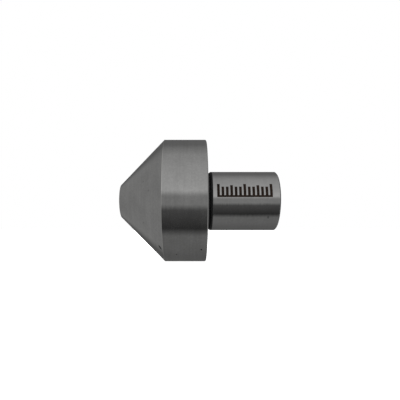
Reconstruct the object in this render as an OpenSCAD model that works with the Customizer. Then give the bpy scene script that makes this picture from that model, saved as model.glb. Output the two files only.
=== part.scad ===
// Straight-shank live center with a large 90 degree bull-nose head.
// The head is pressed on a spindle that turns in three bearings inside the parallel shank.
// Frame: X is the spindle axis. The origin is the middle of the shank's rear end face,
// +X leaves through the shank's rear end, the nose points along -X, and +Z is up.

/* [Head] */
// Outer diameter of the head's cylindrical band
head_d = 66; // [64:0.5:80]
// Diameter of the flat land at the tip of the nose
nose_d = 18; // [12:0.5:20]
// Length of the cylindrical band
band_len = 22; // [20:0.5:30]
// Half of the cone's included angle, in degrees
cone_half_angle = 45; // [40:1:46]

/* [Shank] */
// Diameter of the ground parallel shank
shank_d = 32; // [32:0.5:40]
// Length of the shank with its front cap, over both end faces
shank_len = 36; // [36:0.5:50]
// Thickness of the black front cap's flange, which is flush with the shank
flange_t = 1.25; // [0.8:0.05:2]
// Chamfer on the front cap's edge, which faces the head
front_chamfer = 0.4; // [0.2:0.1:1]
// Chamfer at the rear end
rear_chamfer = 0.6; // [0.4:0.1:1.2]

/* [Head to shank] */
// Open gap between the head and the shank housing
head_gap = 2; // [1.5:0.1:3]
// Outer diameter of the rubber dust seal that stands in the gap
seal_d = 31.2; // [28:0.1:31.4]

/* [Front radial bearing] */
// Number of balls
front_count = 11; // [8:1:11]
// Ball diameter
front_ball_d = 3.5; // [3:0.1:3.5]

/* [Thrust bearing] */
// Number of balls
thrust_count = 10; // [8:1:11]

/* [Rear radial bearing] */
// Number of balls
rear_count = 10; // [8:1:11]

/* [Hidden] */
$fn = 96;

// Clearances
slip = 0.01;         // radial play drawn in a press or location fit
ball_play = 0.02;    // between a ball and the bottom of its groove
pocket_play = 0.1;   // between a ball and its cage pocket
edge_break = 0.4;    // small chamfer on sharp turned edges
ring_edge = 0.3;     // chamfer on the bearing rings' outside edges
fine_edge = 0.1;     // chamfer on the shank where the front cap meets it

// Bearing sizes: bore, outside diameter, width, then the ring shoulders
front_bearing = [15, 28, 7, 19.2, 23.8];
thrust_bearing = [12, 26, 9, 13.2, 2.7];   // the last two: housing washer's bore, washer thickness
rear_bearing = [12, 24, 6, 15.9, 20.1];
thrust_ball_d = 4.762;
rear_ball_d = 3.175;

// Stations along the axis, measured forwards from the shank's rear end face
plug_recess = 0.6;
plug_t = 3;
plug_in = plug_recess + plug_t;
spindle_end = plug_in + 0.4;
nut_s = spindle_end + 0.5;
nut_t = 4;
washer_s = nut_s + nut_t;
washer_t = 1;
rear_s = washer_s + washer_t;
web_s = rear_s + rear_bearing[2];
thrust_s = shank_len - 18.6;
housing_end_s = shank_len - flange_t;
shoulder_s = thrust_s + thrust_bearing[2];
front_s = shoulder_s + 0.4;
cap_s = front_s + front_bearing[2];
thrust_mid = thrust_s + thrust_bearing[2] / 2;
head_s = shank_len + head_gap;
band_end_s = head_s + band_len;
nose_s = band_end_s + (head_d - nose_d) / 2 / tan(cone_half_angle);

// Head details
seal_recess = 2;            // depth of the counterbore that holds the dust seal
nose_fit_d = 16;            // spindle's nose, pressed in the head
nose_fit_len = 27.5;
vent_d = 3.15;              // pilot of the centre hole, which also vents the bore
centre_mouth_d = 6.7;       // mouth of the 60 degree centre hole
centre_depth = (centre_mouth_d - vent_d) / 2 / tan(30);
recess_floor_s = head_s + seal_recess;

// Housing details
mouth_d = front_bearing[1];
relief_d = thrust_bearing[1] + 0.6;   // room round the thrust bearing's turning washer
web_bore_d = 16;
rear_thread_d = 25;         // plain cylinder in place of the M26 x 1 thread
collar_d = 19;
cap_bore_d = 21.4;

// Lock nut and tab washer
nut_d = 20;
nut_slot_w = 3;
nut_slot_depth = 1.6;
keyway_w = 2.2;
keyway_depth = 1.2;
washer_ring_d = 17.6;
tab_w = 2.6;
tab_t = 0.9;

// End plug
oring_d = 0.98;             // cord diameter of the O-ring
oring_groove_w = 1.1;
oring_groove_s = plug_in - oring_groove_w - 0.3;
pin_hole_d = 3;
pin_hole_depth = 2;
pin_hole_pcd = 15;

// Turns a closed [radius, station] outline about the axis.
module turned(outline) {
    rotate([0, -90, 0])
        rotate_extrude()
            polygon(outline);
}

// Groove of circular section about the axis, cut by a ball track.
module track(centre_r, section_r, station) {
    rotate([0, -90, 0])
        rotate_extrude()
            translate([centre_r, station])
                circle(r = section_r);
}

// Puts its children at equal steps round the axis, at a radius and a station.
module around(count, radius, station) {
    for (i = [0:count - 1])
        rotate([i * 360 / count, 0, 0])
            translate([-station, 0, radius])
                children();
}

// Outline of a ring with a chamfer c on its four edges.
function ring_outline(r0, r1, s0, s1, c) = [
    [r0 + c, s0], [r1 - c, s0], [r1, s0 + c], [r1, s1 - c],
    [r1 - c, s1], [r0 + c, s1], [r0, s1 - c], [r0, s0 + c]
];

function track_r(ball_d) = 0.52 * ball_d;
function pitch_r(b) = (b[0] + b[1]) / 4;

// Distance of a thrust washer's groove centre from the middle of the balls.
function thrust_shift() = track_r(thrust_ball_d) - thrust_ball_d / 2 - ball_play;

// Inner ring of a radial ball bearing b, with balls of ball_d, its rear face at station s.
module inner_ring(b, ball_d, s) {
    groove = track_r(ball_d);
    difference() {
        turned(ring_outline(b[0] / 2 + slip, b[3] / 2, s, s + b[2], ring_edge));
        track(pitch_r(b) - ball_d / 2 - ball_play + groove, groove, s + b[2] / 2);
    }
}

// Outer ring of the same bearing.
module outer_ring(b, ball_d, s) {
    groove = track_r(ball_d);
    difference() {
        turned(ring_outline(b[4] / 2, b[1] / 2 - slip, s, s + b[2], ring_edge));
        track(pitch_r(b) + ball_d / 2 + ball_play - groove, groove, s + b[2] / 2);
    }
}

module ball_set(count, ball_d, radius, station) {
    around(count, radius, station)
        sphere(d = ball_d);
}

// Snap cage: a thin ring with fingers between the balls, open on its front side.
module snap_cage(b, ball_d, count, s) {
    mid = s + b[2] / 2;
    side_play = 0.25;
    back = mid - ball_d / 2 - pocket_play - 0.4;
    open_face = mid + 0.28 * ball_d;
    difference() {
        turned(ring_outline(b[3] / 2 + side_play, b[4] / 2 - side_play, back, open_face, 0.1));
        around(count, pitch_r(b), mid)
            sphere(d = ball_d + 2 * pocket_play);
    }
}

// The two rubber-faced shields of a sealed bearing, one at each side, held by the outer ring.
module shields(b, s) {
    t = 0.4;
    inset = 0.15;
    for (face = [s + inset, s + b[2] - inset - t])
        turned(ring_outline(b[3] / 2 + 0.2, b[4] / 2 - slip, face, face + t, 0.05));
}

module bull_nose_head() {
    color([0.62, 0.61, 0.59])
        turned([
            [vent_d / 2, recess_floor_s + nose_fit_len + 0.5],
            [nose_fit_d / 2 + slip, recess_floor_s + nose_fit_len + 0.5],
            [nose_fit_d / 2 + slip, recess_floor_s],
            [seal_d / 2 + slip, recess_floor_s],
            [seal_d / 2 + slip, head_s + edge_break / 2],
            [seal_d / 2 + slip + edge_break / 2, head_s],
            [head_d / 2 - edge_break, head_s],
            [head_d / 2, head_s + edge_break],
            [head_d / 2, band_end_s],
            [nose_d / 2 + edge_break * sin(cone_half_angle), nose_s - edge_break * cos(cone_half_angle)],
            [nose_d / 2 - edge_break, nose_s],
            [centre_mouth_d / 2, nose_s],
            [vent_d / 2, nose_s - centre_depth]
        ]);
}

module spindle() {
    tail_r = thrust_bearing[0] / 2;
    seat_r = front_bearing[0] / 2;
    nose_end = recess_floor_s + nose_fit_len;
    color([0.66, 0.66, 0.66])
        difference() {
            turned([
                [0, spindle_end],
                [tail_r - edge_break, spindle_end],
                [tail_r, spindle_end + edge_break],
                [tail_r, shoulder_s],
                [seat_r - edge_break / 2, shoulder_s],
                [seat_r, shoulder_s + edge_break / 2],
                [seat_r, cap_s],
                [collar_d / 2 - edge_break / 2, cap_s],
                [collar_d / 2, cap_s + edge_break / 2],
                [collar_d / 2, recess_floor_s],
                [nose_fit_d / 2, recess_floor_s],
                [nose_fit_d / 2, nose_end - 1],
                [nose_fit_d / 2 - 1, nose_end],
                [0, nose_end]
            ]);
            translate([-rear_s, -keyway_w / 2, tail_r - keyway_depth])
                cube([rear_s - spindle_end + 1, keyway_w, keyway_depth + 1]);
        }
}

// Body in the head's counterbore, with a lip that flares towards the housing's front face.
module dust_seal() {
    lip_s = shank_len + 0.15;
    color([0.05, 0.05, 0.06])
        turned([
            [collar_d / 2 + slip, recess_floor_s - slip],
            [seal_d / 2, recess_floor_s - slip],
            [seal_d / 2, head_s - 0.9],
            [seal_d / 2 - 0.3, lip_s],
            [seal_d / 2 - 0.8, lip_s],
            [seal_d / 2 - 2.2, head_s - 0.5],
            [seal_d / 2 - 3.2, head_s - 0.8],
            [collar_d / 2 + 0.3, head_s - 0.8],
            [collar_d / 2 + slip, head_s - 0.5]
        ]);
}

module shank_housing() {
    color([0.6, 0.59, 0.57])
        turned([
            [rear_thread_d / 2 + edge_break, 0],
            [shank_d / 2 - rear_chamfer, 0],
            [shank_d / 2, rear_chamfer],
            [shank_d / 2, housing_end_s - fine_edge],
            [shank_d / 2 - fine_edge, housing_end_s],
            [mouth_d / 2 + edge_break / 2, housing_end_s],
            [mouth_d / 2, housing_end_s - edge_break / 2],
            [mouth_d / 2, front_s],
            [relief_d / 2, front_s],
            [relief_d / 2, thrust_s + thrust_bearing[4]],
            [thrust_bearing[1] / 2, thrust_s + thrust_bearing[4]],
            [thrust_bearing[1] / 2, thrust_s],
            [web_bore_d / 2, thrust_s],
            [web_bore_d / 2, web_s],
            [rear_bearing[1] / 2, web_s],
            [rear_bearing[1] / 2, rear_s],
            [rear_thread_d / 2, rear_s],
            [rear_thread_d / 2, edge_break]
        ]);
}

// Flanged ring whose spigot is pressed in the housing's mouth. It holds the front outer ring,
// and the seal's lip runs on its face.
module front_cap_ring() {
    bore_r = cap_bore_d / 2;
    spigot_r = mouth_d / 2 - slip;
    flange_r = shank_d / 2 - 2 * slip;
    c = 0.15;
    color([0.16, 0.16, 0.17])
        turned([
            [bore_r + c, cap_s],
            [spigot_r - c, cap_s],
            [spigot_r, cap_s + c],
            [spigot_r, housing_end_s],
            [flange_r, housing_end_s],
            [flange_r, shank_len - front_chamfer],
            [flange_r - front_chamfer, shank_len],
            [bore_r + c, shank_len],
            [bore_r, shank_len - c],
            [bore_r, cap_s + c]
        ]);
}

module end_plug() {
    color([0.14, 0.14, 0.15])
        difference() {
            turned([
                [0, plug_recess],
                [rear_thread_d / 2 - edge_break, plug_recess],
                [rear_thread_d / 2 - slip, plug_recess + edge_break],
                [rear_thread_d / 2 - slip, oring_groove_s],
                [rear_thread_d / 2 - oring_d - 2 * slip, oring_groove_s],
                [rear_thread_d / 2 - oring_d - 2 * slip, oring_groove_s + oring_groove_w],
                [rear_thread_d / 2 - slip, oring_groove_s + oring_groove_w],
                [rear_thread_d / 2 - slip, plug_in],
                [0, plug_in]
            ]);
            for (side = [-1, 1])
                translate([-plug_recess - pin_hole_depth, side * pin_hole_pcd / 2, 0])
                    rotate([0, 90, 0])
                        cylinder(d = pin_hole_d, h = pin_hole_depth + 1);
        }
}

module end_plug_oring() {
    color([0.05, 0.05, 0.06])
        track(rear_thread_d / 2 - slip - oring_d / 2, oring_d / 2 - slip / 2,
              oring_groove_s + oring_groove_w / 2);
}

module front_inner_ring() {
    color([0.72, 0.72, 0.73]) inner_ring(front_bearing, front_ball_d, front_s);
}

module front_outer_ring() {
    color([0.72, 0.72, 0.73]) outer_ring(front_bearing, front_ball_d, front_s);
}

module front_balls() {
    color([0.8, 0.8, 0.81])
        ball_set(front_count, front_ball_d, pitch_r(front_bearing), front_s + front_bearing[2] / 2);
}

module front_cage() {
    color([0.86, 0.84, 0.76]) snap_cage(front_bearing, front_ball_d, front_count, front_s);
}

module front_shields() {
    color([0.07, 0.07, 0.08]) shields(front_bearing, front_s);
}

// Washer that turns with the spindle, against its shoulder.
module thrust_shaft_washer() {
    color([0.72, 0.72, 0.73])
        difference() {
            turned(ring_outline(thrust_bearing[0] / 2 + slip, thrust_bearing[1] / 2,
                                shoulder_s - thrust_bearing[4], shoulder_s, ring_edge));
            track(pitch_r(thrust_bearing), track_r(thrust_ball_d), thrust_mid - thrust_shift());
        }
}

// Washer that rests on the housing's web.
module thrust_housing_washer() {
    color([0.72, 0.72, 0.73])
        difference() {
            turned(ring_outline(thrust_bearing[3] / 2, thrust_bearing[1] / 2 - slip,
                                thrust_s, thrust_s + thrust_bearing[4], ring_edge));
            track(pitch_r(thrust_bearing), track_r(thrust_ball_d), thrust_mid + thrust_shift());
        }
}

module thrust_balls() {
    color([0.8, 0.8, 0.81])
        ball_set(thrust_count, thrust_ball_d, pitch_r(thrust_bearing), thrust_mid);
}

module thrust_cage() {
    plate_t = 2;
    rim = 0.75;
    reach = thrust_ball_d / 2 + pocket_play + rim;
    middle = pitch_r(thrust_bearing);
    color([0.78, 0.62, 0.32])
        difference() {
            turned(ring_outline(middle - reach, middle + reach,
                                thrust_mid - plate_t / 2, thrust_mid + plate_t / 2, 0.15));
            around(thrust_count, middle, thrust_mid - plate_t)
                rotate([0, -90, 0])
                    cylinder(d = thrust_ball_d + 2 * pocket_play, h = 2 * plate_t);
        }
}

module rear_inner_ring() {
    color([0.72, 0.72, 0.73]) inner_ring(rear_bearing, rear_ball_d, rear_s);
}

module rear_outer_ring() {
    color([0.72, 0.72, 0.73]) outer_ring(rear_bearing, rear_ball_d, rear_s);
}

module rear_balls() {
    color([0.8, 0.8, 0.81])
        ball_set(rear_count, rear_ball_d, pitch_r(rear_bearing), rear_s + rear_bearing[2] / 2);
}

module rear_cage() {
    color([0.86, 0.84, 0.76]) snap_cage(rear_bearing, rear_ball_d, rear_count, rear_s);
}

module rear_shields() {
    color([0.07, 0.07, 0.08]) shields(rear_bearing, rear_s);
}

// Tab washer: its inner tongue lies in the spindle's keyway, and two tabs are bent into nut slots.
module lock_washer() {
    tongue_r = rear_bearing[0] / 2 - keyway_depth + 0.2;
    tab_r = nut_d / 2 - nut_slot_depth + 0.1;
    color([0.5, 0.5, 0.5]) {
        turned(ring_outline(rear_bearing[0] / 2 + slip, washer_ring_d / 2, washer_s, rear_s, 0.1));
        translate([-rear_s, -keyway_w / 2 + 0.1, tongue_r])
            cube([washer_t, keyway_w - 0.2, rear_bearing[0] / 2 + 1 - tongue_r]);
        for (side = [0, 180])
            rotate([side, 0, 0])
                translate([-rear_s, -tab_w / 2, tab_r])
                    cube([washer_t + 2, tab_w, tab_t]);
    }
}

module lock_nut() {
    color([0.14, 0.14, 0.15])
        difference() {
            turned(ring_outline(thrust_bearing[0] / 2 + slip, nut_d / 2, nut_s, nut_s + nut_t, 0.3));
            for (i = [0:3])
                rotate([i * 90, 0, 0])
                    translate([-nut_s - nut_t - 1, -nut_slot_w / 2, nut_d / 2 - nut_slot_depth])
                        cube([nut_t + 2, nut_slot_w, nut_slot_depth + 1]);
        }
}

bull_nose_head();
spindle();
dust_seal();
shank_housing();
front_cap_ring();
end_plug();
end_plug_oring();
front_inner_ring();
front_outer_ring();
front_balls();
front_cage();
front_shields();
thrust_shaft_washer();
thrust_housing_washer();
thrust_balls();
thrust_cage();
rear_inner_ring();
rear_outer_ring();
rear_balls();
rear_cage();
rear_shields();
lock_washer();
lock_nut();
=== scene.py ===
"""Looks of a straight-shank live center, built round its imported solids.

The tool's axis is the X axis. A station s is a distance forwards from the shank's rear end face,
so x = -s. Sizes of turned shapes are in millimetres, and become metres in Blank.make.
"""

import logging
import math
from dataclasses import dataclass, field
from enum import Enum

import bpy
import numpy as np
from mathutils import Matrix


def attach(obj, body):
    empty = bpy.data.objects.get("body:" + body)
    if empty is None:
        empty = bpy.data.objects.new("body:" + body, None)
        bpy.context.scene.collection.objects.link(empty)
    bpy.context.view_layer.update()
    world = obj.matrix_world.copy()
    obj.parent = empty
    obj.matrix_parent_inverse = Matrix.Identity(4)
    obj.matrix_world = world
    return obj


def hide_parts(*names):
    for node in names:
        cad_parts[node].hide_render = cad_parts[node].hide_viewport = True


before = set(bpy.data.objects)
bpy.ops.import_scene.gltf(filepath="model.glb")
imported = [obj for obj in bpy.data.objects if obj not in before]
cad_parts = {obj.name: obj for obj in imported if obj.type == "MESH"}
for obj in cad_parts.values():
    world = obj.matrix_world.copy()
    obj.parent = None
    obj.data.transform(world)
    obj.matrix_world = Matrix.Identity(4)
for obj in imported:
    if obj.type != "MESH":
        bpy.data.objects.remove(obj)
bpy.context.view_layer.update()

LOG = logging.getLogger("live_center")
MM = 0.001
SLIP = 0.01
Colour = tuple[float, float, float]
Socket = bpy.types.NodeSocket


class Body(Enum):
    """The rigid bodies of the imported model."""

    HOUSING = "housing"
    ROTOR = "rotor"
    FRONT_BALLS = "front_ball_set"
    THRUST_BALLS = "thrust_ball_set"
    REAR_BALLS = "rear_ball_set"


class Around(Enum):
    """How many divisions a turned surface has round the axis."""

    COARSE = 96
    FINE = 192


class Edge(Enum):
    """Fillet radius of a turned corner, in millimetres."""

    SHARP = 0.0
    CRISP = 0.08
    BROKEN = 0.15
    SOFT = 0.3


# ---------------------------------------------------------------- turned shapes


def filleted(corners: np.ndarray, radii: np.ndarray, ring: bool, steps: int = 5) -> np.ndarray:
    """Round the corners of an outline.

    At a corner P, unit vectors u and v point to its neighbours and 2h is the angle between them.
    The fillet of radius f has its centre C at P + f / sin h along the bisector of u and v, and
    touches the two sides f / tan h from P, at A and B. Its arc is the circular blend
        C + (sin((1 - w) g) (A - C) + sin(w g) (B - C)) / sin g,   g = pi - 2h,   0 <= w <= 1.

    Args:
        corners: N x 2 array of (radius from the axis, station).
        radii: N fillet radii.
        ring: whether the last corner joins the first. An open outline keeps its two ends sharp.
        steps: segments in each fillet.

    Returns:
        M x 2 array of the rounded outline's points, none of them twice.
    """
    before = np.roll(corners, 1, axis=0) - corners
    after = np.roll(corners, -1, axis=0) - corners
    if not ring:
        radii = np.concatenate([[0.0], radii[1:-1], [0.0]])
        before[0], after[-1] = -after[0], -before[-1]
    u = before / np.linalg.norm(before, axis=1, keepdims=True)
    v = after / np.linalg.norm(after, axis=1, keepdims=True)
    half = np.arccos(np.clip((u * v).sum(1), -1.0, 1.0)) / 2
    bisector = u + v
    bisector /= np.maximum(np.linalg.norm(bisector, axis=1, keepdims=True), 1e-9)
    reach = bisector * (radii / np.sin(half))[:, None]
    touch = (radii / np.tan(half))[:, None]
    g = np.maximum(np.pi - 2 * half, 1e-6)[:, None, None]
    w = np.linspace(0.0, 1.0, steps + 1)[None, :, None]
    a, b = (u * touch - reach)[:, None], (v * touch - reach)[:, None]
    arc = (np.sin((1 - w) * g) * a + np.sin(w * g) * b) / np.sin(g)
    points = ((corners + reach)[:, None] + arc).reshape(-1, 2)
    apart = np.linalg.norm(points - np.roll(points, 1, axis=0), axis=1) > 1e-4
    apart[0] |= not ring
    return points[apart]


def divided(points: np.ndarray, ring: bool, span: float = 2.0, hold: float = 0.2) -> np.ndarray:
    """Add points along an outline's long runs, so that a fillet's shading stays in the fillet.

    The outline is read by its length. New points lie every span, and at hold from both ends of
    each run that is longer than three times that.

    Args:
        points: M x 2 outline.
        ring: whether the last point joins the first.
        span: largest distance between neighbours.
        hold: how close to a run's ends the holding points lie.

    Returns:
        The outline with the extra points.
    """
    walk = np.vstack([points, points[:1]]) if ring else points
    step = np.linalg.norm(np.diff(walk, axis=0), axis=1)
    length = np.concatenate([[0.0], np.cumsum(step)])
    long = step > 3 * hold
    extra = [length, length[:-1][long] + hold, length[1:][long] - hold, np.arange(0, length[-1], span)]
    places = np.unique(np.round(np.concatenate(extra), 3))
    if ring:
        places = places[places < length[-1] - 1e-3]
    return np.stack([np.interp(places, length, walk[:, k]) for k in (0, 1)], axis=1)


@dataclass
class Blank:
    """A mesh in the making: points in millimetres, and faces of four and of three corners."""

    points: np.ndarray
    quads: np.ndarray
    quad_uv: np.ndarray
    tris: np.ndarray = field(default_factory=lambda: np.zeros((0, 3), int))
    tri_uv: np.ndarray = field(default_factory=lambda: np.zeros((0, 3, 2)))

    def make(self, name: str, finish: bpy.types.Material, crease_deg: float = 40.0) -> bpy.types.Object:
        """Turn the arrays into a smooth-shaded object at the origin.

        Args:
            name: the object's name.
            finish: its material.
            crease_deg: edges that turn further than this stay sharp.

        Returns:
            The new object, linked to the scene.
        """
        mesh = bpy.data.meshes.new(name)
        mesh.from_pydata((self.points * MM).tolist(), [], self.quads.tolist() + self.tris.tolist())
        uv = np.concatenate([self.quad_uv.reshape(-1, 2), self.tri_uv.reshape(-1, 2)])
        layer = mesh.uv_layers.new(name="along_and_around")
        layer.data.foreach_set("uv", uv.astype(np.float32).ravel())
        mesh.shade_smooth()
        mesh.set_sharp_from_angle(angle=math.radians(crease_deg))
        mesh.materials.append(finish)
        piece = bpy.data.objects.new(name, mesh)
        bpy.context.scene.collection.objects.link(piece)
        return piece


def turned(outline: np.ndarray, ring: bool, around: Around) -> Blank:
    """Turn an outline about the X axis.

    Point (i, j) of the surface is x = -s_i, y = r_i cos t_j, z = r_i sin t_j, with
    t_j = 2 pi j / n. An open outline starts and ends on the axis, where each end is one point
    that a fan of triangles closes.

    Args:
        outline: M x 2 array of (radius, station), running forwards on its outermost side.
        ring: whether the outline is a closed loop off the axis.
        around: divisions round the axis.

    Returns:
        The blank, its faces outwards, with u along the outline and v round the axis.
    """
    n = around.value
    t = np.arange(n) * 2 * np.pi / n
    body = outline if ring else outline[1:-1]
    m = len(body)
    r, s = body[:, :1], body[:, 1:]
    points = np.stack([-s + 0 * t, r * np.cos(t), r * np.sin(t)], axis=-1).reshape(-1, 3)
    i, j = (g.ravel() for g in np.meshgrid(np.arange(m - (not ring)), np.arange(n), indexing="ij"))
    i2, j2 = (i + 1) % m, (j + 1) % n
    quads = np.stack([i * n + j, i2 * n + j, i2 * n + j2, i * n + j2], axis=1)
    step = np.linalg.norm(np.diff(np.vstack([body, body[:1]]), axis=0), axis=1)
    run = np.concatenate([[0.0], np.cumsum(step)]) / step.sum()
    u0, u1, v0, v1 = run[i], run[i + 1], j / n, (j + 1) / n
    quad_uv = np.stack([np.stack(p, axis=1) for p in ((u0, v0), (u1, v0), (u1, v1), (u0, v1))], axis=1)
    if ring:
        return Blank(points, quads, quad_uv)
    ends = np.stack([-outline[[0, -1], 1], np.zeros(2), np.zeros(2)], axis=1)
    j = np.arange(n)
    rear = np.stack([np.full(n, m * n), j, (j + 1) % n], axis=1)
    nose = np.stack([np.full(n, m * n + 1), (m - 1) * n + (j + 1) % n, (m - 1) * n + j], axis=1)
    fan = np.stack([np.zeros(n), j / n], axis=1)
    fan_uv = np.stack([fan, fan + [0.01, 0], fan + [0.01, 1 / n]], axis=1)
    tris, tri_uv = np.vstack([rear, nose]), np.vstack([fan_uv, fan_uv])
    return Blank(np.vstack([points, ends]), quads, quad_uv, tris, tri_uv)


class Outline:
    """Half section of a turned piece, given corner by corner in either direction."""

    def __init__(self) -> None:
        """Start with no corners."""
        self.places: list[np.ndarray] = []
        self.radii: list[np.ndarray] = []

    def to(self, radius: float, station: float, edge: Edge = Edge.SHARP) -> "Outline":
        """Add a corner at a radius and a station, and return the outline."""
        self.places.append(np.array([[radius, station]]))
        self.radii.append(np.array([edge.value]))
        return self

    def track(
        self, centre: tuple[float, float], facing: tuple[float, float], reach: float, section: float
    ) -> "Outline":
        """Add a ball track of circular section.

        With d the unit vector from the circle's centre c to the bottom of the groove, and e the
        direction of travel, the points are c + section (cos a d + sin a e), for a from -m to m,
        where the face that the groove is cut in lies reach from c and cos m = reach / section.

        Args:
            centre: (radius, station) of the section's centre.
            facing: d as (radius, station).
            reach: distance from the centre to the face, along d.
            section: radius of the section.

        Returns:
            The outline.
        """
        d = np.array(facing)
        e = np.array([-d[1], d[0]])
        limit = math.acos(reach / section)
        a = np.linspace(limit, -limit, 15)[:, None]
        self.places.append(np.array(centre) + section * (np.cos(a) * d + np.sin(a) * e))
        self.radii.append(np.zeros(len(a)))
        return self

    def turn(self, around: Around = Around.COARSE, ring: bool = True) -> Blank:
        """Round the corners, divide the runs and turn the outline about the axis.

        Args:
            around: divisions round the axis.
            ring: False for a piece that reaches the axis at both ends of its outline.

        Returns:
            The blank.
        """
        places, radii = np.vstack(self.places), np.concatenate(self.radii)
        r, s = places.T
        if (r * np.roll(s, -1) - np.roll(r, -1) * s).sum() < 0:
            places, radii = places[::-1], radii[::-1]
        return turned(divided(filleted(places, radii, ring), ring), ring, around)


def washer(bore: float, outside: float, rear: float, front: float, edge: Edge) -> Outline:
    """Outline of a plain ring, its four corners rounded alike.

    Args:
        bore: inside radius.
        outside: outside radius.
        rear: station of the rear face.
        front: station of the front face.
        edge: fillet of each corner.

    Returns:
        The outline.
    """
    outline = Outline()
    for radius, station in ((bore, rear), (outside, rear), (outside, front), (bore, front)):
        outline.to(radius, station, edge)
    return outline


def ball_circle(count: int, ball: float, pitch: float, station: float) -> Blank:
    """A circle of bearing balls.

    Point (a, b) of a ball is its centre + ball (cos a, sin a cos b, sin a sin b). Ball k's centre
    is x = -station, y = -pitch sin c, z = pitch cos c, with c = 2 pi k / count.

    Args:
        count: number of balls.
        ball: radius of a ball.
        pitch: radius of the circle through the centres.
        station: where that circle lies.

    Returns:
        The blank of all the balls, each a closed surface.
    """
    bands, n = 16, 32
    a = np.arange(1, bands)[:, None] * np.pi / bands
    b = np.arange(n)[None, :] * 2 * np.pi / n
    skin = np.stack([np.cos(a) + 0 * b, np.sin(a) * np.cos(b), np.sin(a) * np.sin(b)], axis=-1)
    skin = np.vstack([skin.reshape(-1, 3), [[1, 0, 0], [-1, 0, 0]]]) * ball
    i, j = (g.ravel() for g in np.meshgrid(np.arange(bands - 2), np.arange(n), indexing="ij"))
    j2 = (j + 1) % n
    quads = np.stack([i * n + j, (i + 1) * n + j, (i + 1) * n + j2, i * n + j2], axis=1)
    j, pole, last = np.arange(n), (bands - 1) * n, (bands - 2) * n
    j2 = (j + 1) % n
    caps = [
        np.stack([0 * j + pole, j, j2], axis=1),
        np.stack([0 * j + pole + 1, last + j2, last + j], axis=1),
    ]
    c = np.arange(count) * 2 * np.pi / count
    centres = np.stack([0 * c - station, -pitch * np.sin(c), pitch * np.cos(c)], axis=1)
    shift = (np.arange(count) * len(skin))[:, None, None]
    quads = (quads[None] + shift).reshape(-1, 4)
    tris = (np.vstack(caps)[None] + shift).reshape(-1, 3)
    points = (centres[:, None] + skin[None]).reshape(-1, 3)
    return Blank(points, quads, np.zeros((len(quads), 4, 2)), tris, np.zeros((len(tris), 3, 2)))


def curved_bars(boxes: np.ndarray, low: float, high: float) -> Blank:
    """Thin closed bars that lie on a cylinder about the X axis.

    Bar k covers stations s0 to s1 and angles a0 to a1, measured from -Y towards +Z. Its points are
    x = -s, y = -r cos a, z = r sin a on a grid of 2 stations x m angles, once with r = low and once
    with r = high, and its six sides are closed.

    Args:
        boxes: K x 4 array of (s0, s1, a0, a1), the angles in degrees.
        low: radius of the undersides.
        high: radius of the top sides.

    Returns:
        The blank of all the bars.
    """
    m = 13
    w = np.linspace(0, 1, m)
    s = boxes[:, None, None, :2].transpose(0, 1, 3, 2)
    a = np.radians(boxes[:, 2:3] + (boxes[:, 3:4] - boxes[:, 2:3]) * w)[:, None, None, :]
    r = np.array([low, high])[None, :, None, None]
    shape = (len(boxes), 2, 2, m)
    points = [-s + 0 * r + 0 * a, -r * np.cos(a) + 0 * s, r * np.sin(a) + 0 * s]
    points = np.stack([np.broadcast_to(p, shape) for p in points], axis=-1).reshape(-1, 3)
    number = np.arange(4 * m).reshape(2, 2, m)
    k = np.arange(m - 1)
    under, over = number
    skins = [
        [over[0, k], over[0, k + 1], over[1, k + 1], over[1, k]],
        [under[0, k], under[1, k], under[1, k + 1], under[0, k + 1]],
        [under[0, k], under[0, k + 1], over[0, k + 1], over[0, k]],
        [under[1, k], over[1, k], over[1, k + 1], under[1, k + 1]],
        [[under[0, 0]], [over[0, 0]], [over[1, 0]], [under[1, 0]]],
        [[under[0, -1]], [under[1, -1]], [over[1, -1]], [over[0, -1]]],
    ]
    quads = np.vstack([np.stack([np.asarray(side) for side in skin], axis=1) for skin in skins])
    quads = (quads[None] + (np.arange(len(boxes)) * 4 * m)[:, None, None]).reshape(-1, 4)
    return Blank(points, quads, np.zeros((len(quads), 4, 2)))


# ---------------------------------------------------------------- shader nodes


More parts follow.
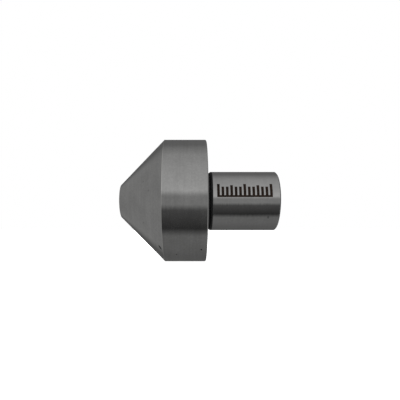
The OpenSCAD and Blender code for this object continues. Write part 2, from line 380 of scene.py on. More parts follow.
class Nodes:
    """Short ways to add and link nodes in one tree."""

    def __init__(self, tree: bpy.types.NodeTree) -> None:
        """Keep the tree to work in."""
        self.tree = tree

    def add(self, kind: str, inputs: dict | None = None, **settings: object) -> bpy.types.Node:
        """Add a node.

        Args:
            kind: the node's type name, without its ShaderNode prefix.
            inputs: input name or number, to a value or to the output that feeds it.
            settings: properties of the node itself.

        Returns:
            The new node.
        """
        node = self.tree.nodes.new(kind if kind.startswith("NodeGroup") else f"ShaderNode{kind}")
        for key, value in settings.items():
            setattr(node, key, value)
        for key, value in (inputs or {}).items():
            if isinstance(value, Socket):
                self.tree.links.new(value, node.inputs[key])
            else:
                node.inputs[key].default_value = value
        return node

    def math(self, operation: str, *values: object) -> Socket:
        """Add a Math node on these values and return its output."""
        return self.add("Math", dict(enumerate(values)), operation=operation).outputs[0]

    def step(self, value: Socket, low: float, high: float) -> Socket:
        """Smooth step of a value, from 0 at low to 1 at high."""
        inputs = {"Value": value, "From Min": low, "From Max": high}
        return self.add("MapRange", inputs, interpolation_type="SMOOTHSTEP").outputs[0]

    def mix(self, factor: object, a: object, b: object) -> Socket:
        """Mix colour a towards colour b by a factor."""
        return self.add("Mix", {0: factor, 6: rgba(a), 7: rgba(b)}, data_type="RGBA").outputs[2]

    def noise(self, vector: Socket, scale: object, detail: float, rough: float = 0.5) -> Socket:
        """Fractal noise between 0 and 1."""
        inputs = {"Vector": vector, "Scale": scale, "Detail": detail, "Roughness": rough}
        return self.add("TexNoise", inputs).outputs[0]

    def stretched(self, vector: Socket, x: object, y: object, z: object) -> Socket:
        """A vector with its three parts multiplied."""
        by = self.add("CombineXYZ", {0: x, 1: y, 2: z}).outputs[0]
        return self.add("VectorMath", {0: vector, 1: by}, operation="MULTIPLY").outputs[0]

    def ramp(self, factor: Socket, stops: list[tuple[float, Colour]]) -> Socket:
        """Colour ramp through these (place from 0 to 1, colour) stops."""
        node = self.add("ValToRGB", {0: factor})
        elements = node.color_ramp.elements
        elements[0].position, elements[0].color = stops[0][0], rgba(stops[0][1])
        elements[1].position, elements[1].color = stops[-1][0], rgba(stops[-1][1])
        for place, colour in stops[1:-1]:
            elements.new(place).color = rgba(colour)
        return node.outputs[0]

    def group(self, tree: bpy.types.NodeTree, **inputs: object) -> bpy.types.Node:
        """Place a shared group; an input's underscores stand for spaces."""
        return self.add("Group", {k.replace("_", " "): v for k, v in inputs.items()}, node_tree=tree)


def rgba(colour: object) -> object:
    """A colour of three numbers with its alpha; a socket is passed on."""
    return colour if isinstance(colour, Socket) else (*colour, 1.0)


def scaled(colour: Colour, by: float) -> Colour:
    """A lighter or darker version of a colour."""
    return tuple(by * part for part in colour)


class Kit:
    """The node groups that several finishes share, each built once."""

    def __init__(self) -> None:
        """Build the groups."""
        self.place = self.build_place()
        self.grain = self.build_grain()
        self.speckle = self.build_speckle()
        self.edge = self.build_edge_highlight()
        self.dent = self.build_dent()
        self.chatter = self.build_chatter()

    @staticmethod
    def start(name: str, inputs: dict[str, float | None], outputs: list[str]) -> tuple[Nodes, dict, dict]:
        """Start a group.

        Args:
            name: the group's name.
            inputs: input name to its default; None makes a vector input.
            outputs: names of the value outputs.

        Returns:
            The node helper, the input sockets by name, and the output sockets by name.
        """
        tree = bpy.data.node_groups.new(name, "ShaderNodeTree")
        for key, default in inputs.items():
            kind = "NodeSocketVector" if default is None else "NodeSocketFloat"
            socket = tree.interface.new_socket(key, in_out="INPUT", socket_type=kind)
            if default is not None:
                socket.default_value = default
        for key in outputs:
            kind = "NodeSocketVector" if key == "Normal" else "NodeSocketFloat"
            tree.interface.new_socket(key, in_out="OUTPUT", socket_type=kind)
        nodes = Nodes(tree)
        into, out = nodes.add("NodeGroupInput"), nodes.add("NodeGroupOutput")
        return nodes, {k: into.outputs[k] for k in inputs}, {k: out.inputs[k] for k in outputs}

    def build_place(self) -> bpy.types.NodeTree:
        """Distance from the tool's axis and distance forwards from its rear end, in millimetres."""
        nodes, given, out = self.start("turned_place", {"Vector": None}, ["Radius", "Station"])
        x, y, z = nodes.add("SeparateXYZ", {0: given["Vector"]}).outputs
        squares = nodes.math("ADD", nodes.math("MULTIPLY", y, y), nodes.math("MULTIPLY", z, z))
        radius = nodes.math("MULTIPLY", nodes.math("SQRT", squares), 1 / MM)
        nodes.tree.links.new(radius, out["Radius"])
        nodes.tree.links.new(nodes.math("MULTIPLY", x, -1 / MM), out["Station"])
        return nodes.tree

    def build_grain(self) -> bpy.types.NodeTree:
        """Marks of a lathe or a grinder: noise packed close along the axis and drawn out round it."""
        inputs = {"Vector": None, "Along": 2500.0, "Round": 120.0}
        nodes, given, out = self.start("turning_grain", inputs, ["Height", "Streak"])
        place = nodes.stretched(given["Vector"], given["Along"], given["Round"], given["Round"])
        broad, fine = nodes.noise(place, 0.4, 2.0), nodes.noise(place, 1.7, 3.0, 0.6)
        half = nodes.math("MULTIPLY", nodes.math("ADD", broad, fine), 0.5)
        nodes.tree.links.new(half, out["Height"])
        nodes.tree.links.new(nodes.step(broad, 0.3, 0.7), out["Streak"])
        return nodes.tree

    def build_speckle(self) -> bpy.types.NodeTree:
        """Grey flecks, small pits and the soft cloud of an oily film, as on handled steel."""
        inputs = {"Vector": None, "Scale": 900.0, "Density": 0.3}
        nodes, given, out = self.start("speckle", inputs, ["Flecks", "Pits", "Film"])
        flecks = nodes.noise(given["Vector"], given["Scale"], 3.0, 0.65)
        nodes.tree.links.new(nodes.step(flecks, 0.35, 0.65), out["Flecks"])
        size = nodes.math("MULTIPLY", given["Scale"], 0.35)
        cells = nodes.add("TexVoronoi", {"Vector": given["Vector"], "Scale": size})
        shade = nodes.add("SeparateColor", {0: cells.outputs["Color"]}).outputs[0]
        spot = nodes.math("SUBTRACT", 1.0, nodes.step(cells.outputs["Distance"], 0.08, 0.2))
        pits = nodes.math("MULTIPLY", nodes.math("LESS_THAN", shade, given["Density"]), spot)
        nodes.tree.links.new(pits, out["Pits"])
        nodes.tree.links.new(nodes.step(nodes.noise(given["Vector"], 110.0, 3.0), 0.3, 0.7), out["Film"])
        return nodes.tree

    def build_edge_highlight(self) -> bpy.types.NodeTree:
        """Painted highlight: a lightened band along one turned edge, broken up by noise."""
        inputs = {"Vector": None, "Radius": 0.0, "Station": 0.0}
        inputs |= {"Edge Radius": 33.0, "Edge Station": 60.0, "Width": 0.4}
        nodes, given, out = self.start("edge_highlight_paint", inputs, ["Wear"])
        offs = [
            nodes.math("SUBTRACT", given[a], given[b])
            for a, b in (("Radius", "Edge Radius"), ("Station", "Edge Station"))
        ]
        squares = nodes.math("ADD", *(nodes.math("MULTIPLY", off, off) for off in offs))
        ragged = nodes.math("ADD", 0.45, nodes.noise(given["Vector"], 700.0, 3.0, 0.6))
        reach = nodes.math("MULTIPLY", given["Width"], ragged)
        far = nodes.math("DIVIDE", nodes.math("SQRT", squares), reach)
        nodes.tree.links.new(nodes.math("SUBTRACT", 1.0, nodes.step(far, 0.4, 1.0)), out["Wear"])
        return nodes.tree

    def build_dent(self) -> bpy.types.NodeTree:
        """One small nick: 1 inside the unit ball of its own shifted, turned and stretched place."""
        nodes, given, out = self.start("dent", {"Vector": None}, ["Mask"])
        length = nodes.add("VectorMath", {0: given["Vector"]}, operation="LENGTH").outputs["Value"]
        nodes.tree.links.new(nodes.math("SUBTRACT", 1.0, nodes.step(length, 0.6, 1.1)), out["Mask"])
        return nodes.tree

    def build_chatter(self) -> bpy.types.NodeTree:
        """Waves that a grinding wheel leaves: the normal N rocks round the axis to N + w (N x X).

        The rock w is the slope times noise that changes quickly along the axis.
        """
        inputs = {"Vector": None, "Slope": 0.01, "Along": 1100.0}
        nodes, given, out = self.start("chatter", inputs, ["Normal"])
        place = nodes.stretched(given["Vector"], given["Along"], 90.0, 90.0)
        rock = nodes.math("SUBTRACT", nodes.noise(place, 1.0, 2.0, 0.6), 0.5)
        rock = nodes.math("MULTIPLY", nodes.math("MULTIPLY", rock, 4.0), given["Slope"])
        normal = nodes.add("NewGeometry").outputs["Normal"]
        side = nodes.add("VectorMath", {0: normal, 1: (1.0, 0.0, 0.0)}, operation="CROSS_PRODUCT").outputs[0]
        side = nodes.add("VectorMath", {0: side, "Scale": rock}, operation="SCALE").outputs[0]
        rocked = nodes.add("VectorMath", {0: normal, 1: side}, operation="ADD").outputs[0]
        rocked = nodes.add("VectorMath", {0: rocked}, operation="NORMALIZE").outputs[0]
        nodes.tree.links.new(rocked, out["Normal"])
        return nodes.tree


# ---------------------------------------------------------------- finishes


@dataclass(frozen=True)
class Dent:
    """A nick in a turned surface. Angles are measured from -Y towards +Z."""

    station: float
    angle_deg: float
    radius: float
    length: float
    width: float
    slant_deg: float = 0.0
    strength: float = 1.0

    def mask(self, nodes: Nodes, kit: Kit, where: Socket) -> Socket:
        """Add the nodes of this nick's mask.

        Args:
            nodes: helper of the material's tree.
            kit: the shared groups.
            where: Object coordinates.

        Returns:
            The mask.
        """
        a = math.radians(self.angle_deg)
        inputs = {
            "Vector": where,
            "Location": (-self.station * MM, -self.radius * MM * math.cos(a), self.radius * MM * math.sin(a)),
            "Rotation": (0.0, math.radians(self.slant_deg), 0.0),
            "Scale": (self.length * MM / 2, self.length * MM, self.width * MM / 2),
        }
        mapped = nodes.add("Mapping", inputs, vector_type="TEXTURE").outputs[0]
        return nodes.math("MULTIPLY", nodes.group(kit.dent, Vector=mapped).outputs["Mask"], self.strength)


@dataclass(frozen=True)
class EdgeHighlight:
    """A turned edge painted lighter or darker; on this tool each one is a painted highlight."""

    radius: float
    station: float
    width: float


def start_material(name: str) -> tuple[bpy.types.Material, Nodes, bpy.types.Node, Socket]:
    """Make a material.

    Args:
        name: its name.

    Returns:
        The material, its node helper, its Principled shader, and its Object coordinates.
    """
    material = bpy.data.materials.new(name)
    material.use_nodes = True
    nodes = Nodes(material.node_tree)
    shader = material.node_tree.nodes["Principled BSDF"]
    return material, nodes, shader, nodes.add("TexCoord").outputs["Object"]


@dataclass(frozen=True)
class Steel:
    """Turned or ground steel, bright or with a black oxide skin left on part of it.

    The oxide covers what lies nearer the axis than oxide_inside, in millimetres. Shades are
    shares of the base colour by which it swings, and bump heights are in millimetres.
    """

    name: str
    colour: Colour
    roughness: float = 0.2
    anisotropy: float = 0.5
    along: float = 2200.0
    round_: float = 90.0
    grain_height: float = 0.001
    grain_shade: float = 0.10
    fleck_scale: float = 900.0
    fleck_shade: float = 0.10
    film_shade: float = 0.08
    pit_density: float = 0.0
    oxide: Colour = (0.020, 0.019, 0.020)
    oxide_inside: float = 0.0
    edge_highlights: tuple[EdgeHighlight, ...] = ()
    # colour that each listed edge is painted towards: a painted highlight
    highlight_colour: Colour = (0.75, 0.74, 0.72)
    dents: tuple[Dent, ...] = ()
    chatter: float = 0.0
    chatter_scale: float = 1100.0

    def make(self, kit: Kit) -> bpy.types.Material:
        """Build the material.

        Args:
            kit: the shared groups.

        Returns:
            The material.
        """
        material, nodes, shader, where = start_material(self.name)
        grain = nodes.group(kit.grain, Vector=where, Along=self.along, Round=self.round_)
        speckle = nodes.group(kit.speckle, Vector=where, Scale=self.fleck_scale, Density=self.pit_density)
        place = nodes.group(kit.place, Vector=where)
        swing = self.grain_shade + self.fleck_shade + self.film_shade
        parts = (
            (grain.outputs["Streak"], self.grain_shade),
            (speckle.outputs["Flecks"], self.fleck_shade),
            (speckle.outputs["Film"], self.film_shade),
        )
        shade: object = 0.0
        for value, share in parts:
            shade = nodes.math("MULTIPLY_ADD", value, share / swing, shade)
        colour = nodes.mix(shade, scaled(self.colour, 1 - swing), scaled(self.colour, 1 + swing))
        smooth, smeared = 0.85 * self.roughness, 0.3 * self.roughness
        rough_swing = nodes.math("MULTIPLY_ADD", speckle.outputs["Film"], smeared, smooth)
        metal: object = 1.0
        # Painted highlight: each listed edge is mixed towards the edge colour in a noisy band.
        for lit_edge in self.edge_highlights:
            edge = {"Edge_Radius": lit_edge.radius, "Edge_Station": lit_edge.station, "Width": lit_edge.width}
            highlight_mask = nodes.group(kit.edge, Vector=where, **edge)
            for key in ("Radius", "Station"):
                nodes.tree.links.new(place.outputs[key], highlight_mask.inputs[key])
            colour = nodes.mix(highlight_mask.outputs["Wear"], colour, self.highlight_colour)
        dark: Socket | None = None
        for mask in [dent.mask(nodes, kit, where) for dent in self.dents]:
            dark = mask if dark is None else nodes.math("MAXIMUM", dark, mask)
        height: object = nodes.math("MULTIPLY", grain.outputs["Height"], self.grain_height * MM)
        if self.pit_density:
            dark = nodes.math("MAXIMUM", dark or 0.0, nodes.math("MULTIPLY", speckle.outputs["Pits"], 0.25))
        if dark is not None:
            colour = nodes.mix(dark, colour, scaled(self.colour, 0.06))
        if self.oxide_inside:
            ragged = nodes.math("MULTIPLY_ADD", nodes.noise(where, 900.0, 2.0), 0.04, place.outputs["Radius"])
            bright = nodes.step(ragged, self.oxide_inside, self.oxide_inside + 0.04)
            skin = nodes.mix(shade, scaled(self.oxide, 0.7), scaled(self.oxide, 1.5))
            colour = nodes.mix(bright, skin, colour)
            metal = nodes.math("MULTIPLY", bright, metal)
            dull = nodes.math("MULTIPLY_ADD", shade, 0.12, 0.38)
            rough_swing = nodes.add("Mix", {0: bright, 2: dull, 3: rough_swing}).outputs[0]
        bump = nodes.add("Bump", {"Height": height, "Distance": 1.0})
        if self.chatter:
            waves = {"Slope": self.chatter, "Along": self.chatter_scale}
            wavy = nodes.group(kit.chatter, Vector=where, **waves)
            nodes.tree.links.new(wavy.outputs["Normal"], bump.inputs["Normal"])
        links = {"Base Color": colour, "Metallic": metal, "Roughness": rough_swing, "Normal": bump.outputs[0]}
        if self.anisotropy:
            tangent = nodes.add("Tangent", direction_type="UV_MAP", uv_map="along_and_around")
            links["Tangent"] = tangent.outputs[0]
        for key, value in links.items():
            if isinstance(value, Socket):
                nodes.tree.links.new(value, shader.inputs[key])
            else:
                shader.inputs[key].default_value = value
        shader.inputs["Anisotropic"].default_value = self.anisotropy
        return material


@dataclass(frozen=True)
class Moulded:
    """Rubber, plastic or a plain plated part: two close colours in a cloud, with a fine skin."""

    name: str
    colour: Colour
    second: Colour
    roughness: float
    metallic: float = 0.0
    cloud_scale: float = 250.0
    skin_scale: float = 4000.0
    skin_height: float = 0.004
    dust: float = 0.0
    specular: float = 0.5

    def make(self, kit: Kit) -> bpy.types.Material:
        """Build the material.

        Args:
            kit: the shared groups.

        Returns:
            The material.
        """
        material, nodes, shader, where = start_material(self.name)
        speckle = nodes.group(kit.speckle, Vector=where, Scale=self.cloud_scale * 3, Density=0.2)
        cloud = nodes.step(nodes.noise(where, self.cloud_scale, 4.0, 0.6), 0.3, 0.7)
        colour = nodes.mix(cloud, self.colour, self.second)
        if self.dust:
            dusty = nodes.math("MULTIPLY", speckle.outputs["Flecks"], self.dust)
            colour = nodes.mix(dusty, colour, (0.30, 0.28, 0.25))
        smooth, smeared = 0.88 * self.roughness, 0.25 * self.roughness
        rough = nodes.math("MULTIPLY_ADD", speckle.outputs["Film"], smeared, smooth)
        height = nodes.math("MULTIPLY", nodes.noise(where, self.skin_scale, 2.0), self.skin_height * MM)
        bump = nodes.add("Bump", {"Height": height, "Distance": 1.0})
        nodes.tree.links.new(colour, shader.inputs["Base Color"])
        nodes.tree.links.new(rough, shader.inputs["Roughness"])
        nodes.tree.links.new(bump.outputs[0], shader.inputs["Normal"])
        shader.inputs["Metallic"].default_value = self.metallic
        shader.inputs["Specular IOR Level"].default_value = self.specular
        return material


class Finishes:
    """Every finish of the tool, made once."""

    def __init__(self) -> None:
        """Build the shared groups and the materials."""
        kit = Kit()
        nick = Dent(61.5, -51.0, 31.5, 3.0, 0.9, 56.0)
        specks = (Dent(40.95, -50.7, 33.0, 0.9, 1.1), Dent(53.35, -59.0, 33.0, 0.7, 0.6))
        smudge = Dent(6.1, -35.3, 16.0, 1.3, 1.9, -12.0, 0.35)
        self.head = Steel(
            "head_steel", (0.55, 0.548, 0.54), 0.14, 0.85, pit_density=0.03, dents=(nick, *specks),
            grain_height=0.0003, grain_shade=0.03, fleck_shade=0.04, film_shade=0.05, chatter=0.006,
            # the head's three turned edges get a painted highlight
            edge_highlights=(EdgeHighlight(33.0, 60.0, 0.3), EdgeHighlight(33.0, 38.2, 0.3), EdgeHighlight(9.0, 84.0, 0.35)),
        ).make(kit)
        self.shank = Steel(
            "shank_steel", (0.58, 0.578, 0.572), 0.085, 0.85, along=5000.0, round_=150.0,
            grain_height=0.0001, grain_shade=0.02, fleck_shade=0.03, film_shade=0.03, chatter=0.014,
            chatter_scale=1700.0, oxide_inside=15.93, dents=(smudge,),
        ).make(kit)
        self.spindle = Steel("spindle_steel", (0.52, 0.51, 0.50), 0.25, 0.0).make(kit)
        self.bearing = Steel(
            "bearing_steel", (0.66, 0.66, 0.67), 0.14, 0.5, along=6000.0, grain_shade=0.03, fleck_shade=0.03
        ).make(kit)
        self.ball = Steel(
            "ball_steel", (0.74, 0.74, 0.75), 0.05, 0.0, grain_shade=0.0, fleck_shade=0.02, film_shade=0.02
        ).make(kit)
        self.spring = Steel("spring_steel", (0.42, 0.42, 0.44), 0.3, 0.0).make(kit)
        self.oxide = Steel(
            "black_oxide", (0.05, 0.05, 0.052), 0.4, 0.0, grain_shade=0.2, fleck_shade=0.2, film_shade=0.1
        ).make(kit)
        self.cap = Moulded(
            "black_cap", (0.004, 0.004, 0.0045), (0.007, 0.007, 0.0075), 0.5, specular=0.25
        ).make(kit)
        self.brass = Steel("brass_cage", (0.72, 0.53, 0.24), 0.28, 0.0).make(kit)
        self.rubber = Moulded(
            "black_rubber", (0.004, 0.004, 0.0045), (0.008, 0.008, 0.009), 0.6, dust=0.015, specular=0.3
        ).make(kit)
        self.nylon = Moulded("nylon_cage", (0.78, 0.75, 0.65), (0.84, 0.82, 0.73), 0.45).make(kit)
        self.etch = Moulded(
            "laser_etch", (0.006, 0.003, 0.0015), (0.018, 0.009, 0.005), 0.6, cloud_scale=900.0, specular=0.15
        ).make(kit)


# ---------------------------------------------------------------- the tool


def put(piece: bpy.types.Object, body: Body, slot: str, *stands_for: str) -> None:
    """Attach a new piece to its body and hide the CAD nodes that it stands for.

    Args:
        piece: the object.
        body: the body it moves with.
        slot: name of a material slot; not used.
        stands_for: CAD nodes that it replaces.
    """
    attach(piece, body.value)
    if stands_for:
        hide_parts(*stands_for)
    LOG.info("%s rides on %s, %d faces", piece.name, body.value, len(piece.data.polygons))


def dress(node: str, finish: bpy.types.Material) -> None:
    """Give a CAD node that stays in view its finish.

    Args:
        node: the node's name.
        finish: the material.
    """
    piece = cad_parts[node]
    piece.data.materials.clear()
    piece.data.materials.append(finish)
    LOG.info("%s keeps its CAD shape, in %s", node, finish.name)


@dataclass
class Head:
    """The bull-nose head: a 90 degree blunt cone in front of a cylindrical band."""

    band_r: float = 33.0
    nose_r: float = 9.0
    rear: float = 38.0
    band_end: float = 60.0
    nose: float = 84.0
    edge: float = 0.4
    bore_r: float = 8.01
    bore_end: float = 68.0
    recess_r: float = 15.61
    recess_end: float = 40.0
    vent_r: float = 1.575
    mouth_r: float = 3.35
    mouth_depth: float = 3.07

    def build(self, finishes: Finishes) -> None:
        """Make the head."""
        outline = (
            Outline()
            .to(self.vent_r, self.bore_end, Edge.CRISP)
            .to(self.bore_r, self.bore_end, Edge.BROKEN)
            .to(self.bore_r, self.recess_end, Edge.CRISP)
            .to(self.recess_r, self.recess_end, Edge.BROKEN)
            .to(self.recess_r, self.rear, Edge.BROKEN)
            .to(self.band_r - self.edge, self.rear, Edge.BROKEN)
            .to(self.band_r, self.rear + self.edge, Edge.BROKEN)
            .to(self.band_r, self.band_end, Edge.CRISP)
            .to(self.nose_r, self.nose, Edge.SOFT)
            .to(self.mouth_r, self.nose, Edge.CRISP)
            .to(self.vent_r, self.nose - self.mouth_depth, Edge.CRISP)
        )
        piece = outline.turn(Around.FINE).make("head", finishes.head)
        put(piece, Body.ROTOR, "head_steel", "bull_nose_head")


@dataclass
class Seal:
    """The black rubber dust seal that stands in the gap behind the head."""

    bore_r: float = 9.51
    outer_r: float = 15.6
    seat: float = 39.99
    heel: float = 37.2
    lip: float = 36.15

    def build(self, finishes: Finishes) -> None:
        """Make the seal, its lip flared towards the housing's face."""
        outline = (
            Outline()
            .to(self.bore_r, self.seat)
            .to(self.outer_r, self.seat)
            .to(self.outer_r, self.heel - 0.1, Edge.SOFT)
            .to(self.outer_r - 0.3, self.lip, Edge.CRISP)
            .to(self.outer_r - 0.8, self.lip, Edge.CRISP)
            .to(self.outer_r - 2.2, self.heel + 0.3, Edge.SOFT)
            .to(self.outer_r - 3.2, self.heel, Edge.SOFT)
            .to(self.bore_r + 0.3, self.heel, Edge.CRISP)
            .to(self.bore_r, self.heel + 0.3, Edge.CRISP)
        )
        piece = outline.turn(Around.FINE).make("dust_seal_skin", finishes.rubber)
        put(piece, Body.ROTOR, "black_rubber", "dust_seal")


@dataclass
class Shank:
    """The parallel shank housing, its black front cap and the etched depth scale on it."""

    outer_r: float = 16.0
    length: float = 36.0
    flange: float = 1.25
    cap_chamfer: float = 0.4
    rear_chamfer: float = 0.6
    thread_r: float = 12.5
    mouth_r: float = 14.0
    cap_bore_r: float = 10.7
    scale_start: float = 5.0
    scale_end: float = 32.0
    scale_pitch: float = 2.25
    scale_low_deg: float = 6.3
    scale_high_deg: float = 29.4
    etch_height: float = 0.012

    def build(self, finishes: Finishes) -> None:
        """Make the housing, the front cap and the scale."""
        front = self.length - self.flange
        outline = (
            Outline()
            .to(self.thread_r, 0.4, Edge.CRISP)
            .to(self.thread_r + 0.4, 0.0, Edge.CRISP)
            .to(self.outer_r - self.rear_chamfer, 0.0, Edge.BROKEN)
            .to(self.outer_r, self.rear_chamfer, Edge.CRISP)
            .to(self.outer_r, front, Edge.CRISP)
            .to(self.mouth_r, front, Edge.CRISP)
            .to(self.mouth_r, 26.8)
            .to(13.3, 26.8)
            .to(13.3, 20.1)
            .to(13.0, 20.1)
            .to(13.0, 17.4)
            .to(8.0, 17.4, Edge.BROKEN)
            .to(8.0, 15.5, Edge.BROKEN)
            .to(12.0, 15.5)
            .to(12.0, 9.5)
            .to(self.thread_r, 9.5)
        )
        piece = outline.turn(Around.FINE).make("shank", finishes.shank)
        put(piece, Body.HOUSING, "shank_steel", "shank_housing")
        self.build_cap(finishes, front)
        self.build_scale(finishes)

    def build_cap(self, finishes: Finishes, seat: float) -> None:
        """Make the flanged cap, its spigot in the mouth and its flange flush with the shank."""
        rim, spigot = self.outer_r - 2 * SLIP, self.mouth_r - SLIP
        outline = (
            Outline()
            .to(self.cap_bore_r, 33.8, Edge.BROKEN)
            .to(spigot, 33.8, Edge.BROKEN)
            .to(spigot, seat)
            .to(rim, seat, Edge.CRISP)
            .to(rim, self.length - self.cap_chamfer, Edge.CRISP)
            .to(rim - self.cap_chamfer, self.length, Edge.CRISP)
            .to(self.cap_bore_r, self.length, Edge.BROKEN)
        )
        piece = outline.turn(Around.FINE).make("front_cap", finishes.cap)
        put(piece, Body.HOUSING, "black_oxide", "front_cap_ring")

    def build_scale(self, finishes: Finishes) -> None:
        """Etch a plain ruled scale: a base line, and strokes of three lengths at even steps."""
        places = np.arange(self.scale_start, self.scale_end + 0.1, self.scale_pitch)
        number = np.arange(len(places))
        share = np.where(number % 6 == 0, 1.0, np.where(number % 3 == 0, 0.88, 0.75))
        half = 0.68
        low = self.scale_low_deg
        high = low + (self.scale_high_deg - low) * share
        strokes = np.stack([places - half, places + half, 0 * high + low, high], axis=1)
        base = [[self.scale_start - half, places[-1] + half, low - 2.9, low + 0.7]]
        bars = curved_bars(np.vstack([strokes, base]), self.outer_r - 0.03, self.outer_r + self.etch_height)
        put(bars.make("depth_scale", finishes.etch), Body.HOUSING, "black_oxide")


@dataclass
class RadialBearing:
    """A sealed deep-groove ball bearing."""

    name: str
    bore: float
    outside: float
    width: float
    inner_shoulder: float
    outer_shoulder: float
    ball: float
    count: int
    rear: float
    ball_body: Body
    play: float = 0.02

    @property
    def middle(self) -> float:
        """Station of the ball circle."""
        return self.rear + self.width / 2

    @property
    def pitch(self) -> float:
        """Radius of the ball circle."""
        return (self.bore + self.outside) / 4

    def grooved(self, wall: float, shoulder: float, side: int) -> Outline:
        """Outline of a ring with a ball track.

        Args:
            wall: radius of the ring's plain side.
            shoulder: radius of the side that carries the track.
            side: -1 for the inner ring, whose track faces outwards, and 1 for the outer ring.

        Returns:
            The outline.
        """
        section = 0.52 * self.ball
        centre = self.pitch + side * (self.ball / 2 + self.play - section)
        front = self.rear + self.width
        outline = Outline().to(wall, front, Edge.SOFT).to(wall, self.rear, Edge.SOFT)
        outline.to(shoulder, self.rear, Edge.BROKEN)
        track = Outline().track((centre, self.middle), (side, 0.0), side * (shoulder - centre), section)
        points = track.places[0]
        if points[0, 1] > points[-1, 1]:
            points = points[::-1]
        outline.places.append(points)
        outline.radii.append(np.zeros(len(points)))
        return outline.to(shoulder, front, Edge.BROKEN)

    def build(self, finishes: Finishes) -> None:
        """Make the rings, the shields and the balls, and dress the cage."""
        inner = self.grooved(self.bore / 2 + SLIP, self.inner_shoulder / 2, -1).turn()
        piece = inner.make(f"{self.name}_inner", finishes.bearing)
        put(piece, Body.ROTOR, "bearing_steel", f"{self.name}_inner_ring")
        outer = self.grooved(self.outside / 2 - SLIP, self.outer_shoulder / 2, 1).turn()
        piece = outer.make(f"{self.name}_outer", finishes.bearing)
        put(piece, Body.HOUSING, "bearing_steel", f"{self.name}_outer_ring")
        balls = ball_circle(self.count, self.ball / 2, self.pitch, self.middle)
        piece = balls.make(f"{self.name}_ball_circle", finishes.ball)
        put(piece, self.ball_body, "ball_steel", f"{self.name}_balls")
        self.build_shields(finishes)
        dress(f"{self.name}_cage", finishes.nylon)

    def build_shields(self, finishes: Finishes) -> None:
        """Make the two rubber-faced shields, each a thin ring just inside a side face."""
        thick, inset = 0.4, 0.15
        low, high = self.inner_shoulder / 2 + 0.2, self.outer_shoulder / 2 - SLIP
        for side, face in (("back", self.rear + inset), ("face", self.rear + self.width - inset - thick)):
            piece = washer(low, high, face, face + thick, Edge.CRISP).turn().make(
                f"{self.name}_shield_{side}", finishes.rubber
            )
            put(piece, Body.HOUSING, "black_rubber", f"{self.name}_shields")


@dataclass
class ThrustBearing:
    """The axial ball bearing that takes the tailstock's push."""

    bore: float = 12.0
    outside: float = 26.0
    rear: float = 17.4
    width: float = 9.0
    plate: float = 2.7
    housing_bore: float = 13.2
    ball: float = 4.762
    count: int = 10
    play: float = 0.02

    def build(self, finishes: Finishes) -> None:
        """Make the two washers and the balls, and dress the cage."""
        middle, front = self.rear + self.width / 2, self.rear + self.width
        pitch, section = (self.bore + self.outside) / 4, 0.52 * self.ball
        shift = section - self.ball / 2 - self.play
        reach = self.width / 2 - self.plate + shift
        low, high = self.bore / 2 + SLIP, self.outside / 2
        shaft = Outline().to(high, front - self.plate, Edge.SOFT).to(high, front, Edge.SOFT)
        shaft.to(low, front, Edge.SOFT).to(low, front - self.plate, Edge.SOFT)
        shaft.track((pitch, middle - shift), (0.0, 1.0), reach, section)
        piece = shaft.turn().make("thrust_shaft_plate", finishes.bearing)
        put(piece, Body.ROTOR, "bearing_steel", "thrust_shaft_washer")
        low, high = self.housing_bore / 2, self.outside / 2 - SLIP
        seat = Outline().to(low, self.rear + self.plate, Edge.SOFT).to(low, self.rear, Edge.SOFT)
        seat.to(high, self.rear, Edge.SOFT).to(high, self.rear + self.plate, Edge.SOFT)
        seat.track((pitch, middle + shift), (0.0, -1.0), reach, section)
        piece = seat.turn().make("thrust_housing_plate", finishes.bearing)
        put(piece, Body.HOUSING, "bearing_steel", "thrust_housing_washer")
        balls = ball_circle(self.count, self.ball / 2, pitch, middle)
        put(balls.make("thrust_ball_circle", finishes.ball), Body.THRUST_BALLS, "ball_steel", "thrust_balls")
        dress("thrust_cage", finishes.brass)


class TailEnd:
    """The spindle and what is fastened behind it, which keep their CAD shapes."""

    def build(self, finishes: Finishes) -> None:
        """Dress the spindle, the nut, its washer, the plug and the O-ring."""
        dress("spindle", finishes.spindle)
        dress("lock_nut", finishes.oxide)
        dress("lock_washer", finishes.spring)
        dress("end_plug", finishes.oxide)
        dress("end_plug_oring", finishes.rubber)


# ---------------------------------------------------------------- the studio


@dataclass(frozen=True)
class Panel:
    """Grey level of the tent's wall in one direction round the tool's axis."""

    angle_deg: float
    level: float


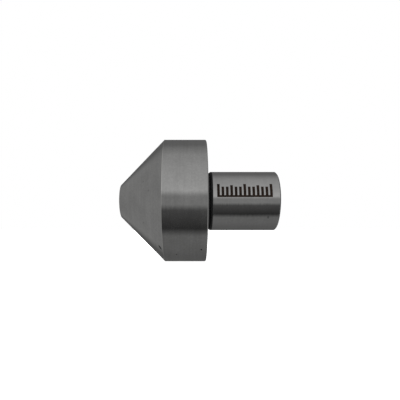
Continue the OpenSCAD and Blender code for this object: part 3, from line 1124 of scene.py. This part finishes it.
@dataclass
class Studio:
    """Plain light tent, floor and camera.

    Angles go round the X axis: 0 points at the camera along -Y, 90 up, and -90 down. The tent
    is neutral: a large soft panel above the camera, a black card below it, and grey walls. Both
    end walls are the same plain grey, and every piece stands in the same tent.
    """

    strength: float = 1.8
    dome: float = 1.35
    floor_z: float = -33.0
    floor_half_m: float = 4.0
    floor_glow: float = 0.92
    lens: float = 33.10
    sensor: float = 36.0
    shift: tuple[float, float] = (0.0295, 0.0716)
    station: float = 47.47
    distance: float = 203.2
    below_deg: float = 4.26
    end_wall: float = 0.15
    walls: tuple[Panel, ...] = (
        Panel(-180, 0.05),
        Panel(-90, 0.10),
        Panel(-70, 0.10),
        Panel(-55, 0.02),
        Panel(-20, 0.05),
        Panel(-10, 0.15),
        Panel(5, 0.15),
        Panel(15, 0.30),
        Panel(50, 0.25),
        Panel(90, 0.20),
        Panel(120, 0.10),
        Panel(180, 0.05),
    )

    def light(self) -> None:
        """Build the tent: a white dome for matt surfaces, and the grey walls that steel mirrors."""
        world = bpy.data.worlds.new("light_tent")
        world.use_nodes = True
        bpy.context.scene.world = world
        nodes = Nodes(world.node_tree)
        x, y, z = nodes.add("SeparateXYZ", {0: nodes.add("TexCoord").outputs["Generated"]}).outputs
        turn = nodes.math("ARCTAN2", z, nodes.math("MULTIPLY", y, -1.0))
        place = nodes.add("MapRange", {"Value": turn, "From Min": -math.pi, "From Max": math.pi}).outputs[0]
        stops = [((wall.angle_deg + 180) / 360, (wall.level,) * 3) for wall in self.walls]
        end = nodes.step(nodes.math("ABSOLUTE", x), 0.4, 0.7)
        colour = nodes.mix(end, nodes.ramp(place, stops), (self.end_wall,) * 3)
        bright = nodes.add("VectorMath", {0: colour, "Scale": self.strength}, operation="SCALE").outputs[0]
        path = nodes.add("LightPath").outputs
        seen = nodes.mix(path["Is Glossy Ray"], (self.dome,) * 3, bright)
        seen = nodes.mix(path["Is Camera Ray"], seen, (1.0, 1.0, 1.0))
        background = world.node_tree.nodes["Background"]
        world.node_tree.links.new(seen, background.inputs["Color"])
        world.cycles.sampling_method = "NONE"
        bpy.context.scene.view_settings.view_transform = "Standard"

    def lay_floor(self) -> None:
        """Lay the plain pale floor that the head's band rests on."""
        half, low = self.floor_half_m, self.floor_z * MM
        mesh = bpy.data.meshes.new("floor")
        corners = [(-half, -half, low), (half, -half, low), (half, half, low), (-half, half, low)]
        mesh.from_pydata(corners, [], [(0, 1, 2, 3)])
        floor = bpy.data.objects.new("floor", mesh)
        bpy.context.scene.collection.objects.link(floor)
        material, nodes, shader, where = start_material("pale_floor")
        shade = nodes.noise(where, 60.0, 3.0)
        pale = nodes.mix(shade, (0.64, 0.64, 0.635), (0.67, 0.67, 0.668))
        nodes.tree.links.new(pale, shader.inputs["Base Color"])
        shader.inputs["Roughness"].default_value = 1.0
        shader.inputs["Emission Color"].default_value = (1.0, 1.0, 1.0, 1.0)
        shader.inputs["Emission Strength"].default_value = self.floor_glow
        shader.inputs["Specular IOR Level"].default_value = 0.0
        mesh.materials.append(material)
        floor.visible_glossy = False

    def place_camera(self) -> None:
        """Stand the camera a little below the axis, looking level and square to the tool's side."""
        data = bpy.data.cameras.new("camera")
        data.lens, data.sensor_width = self.lens, self.sensor
        data.shift_x, data.shift_y = self.shift
        data.clip_start = 0.01
        camera = bpy.data.objects.new("camera", data)
        height = -self.distance * math.tan(math.radians(self.below_deg))
        camera.location = (-self.station * MM, -self.distance * MM, height * MM)
        camera.rotation_euler = (math.pi / 2, 0.0, 0.0)
        bpy.context.scene.collection.objects.link(camera)
        bpy.context.scene.camera = camera

    def build(self) -> None:
        """Set up the light, the floor and the camera."""
        self.light()
        self.lay_floor()
        self.place_camera()


def main() -> None:
    """Build the tool and its studio."""
    logging.basicConfig(level=logging.INFO, format="%(name)s: %(message)s")
    finishes = Finishes()
    front = RadialBearing("front", 15.0, 28.0, 7.0, 19.2, 23.8, 3.5, 11, 26.8, Body.FRONT_BALLS)
    rear = RadialBearing("rear", 12.0, 24.0, 6.0, 15.9, 20.1, 3.175, 10, 9.5, Body.REAR_BALLS)
    for part in (Head(), Seal(), Shank(), front, ThrustBearing(), rear, TailEnd()):
        part.build(finishes)
    Studio().build()


if __name__ == "__main__":
    main()
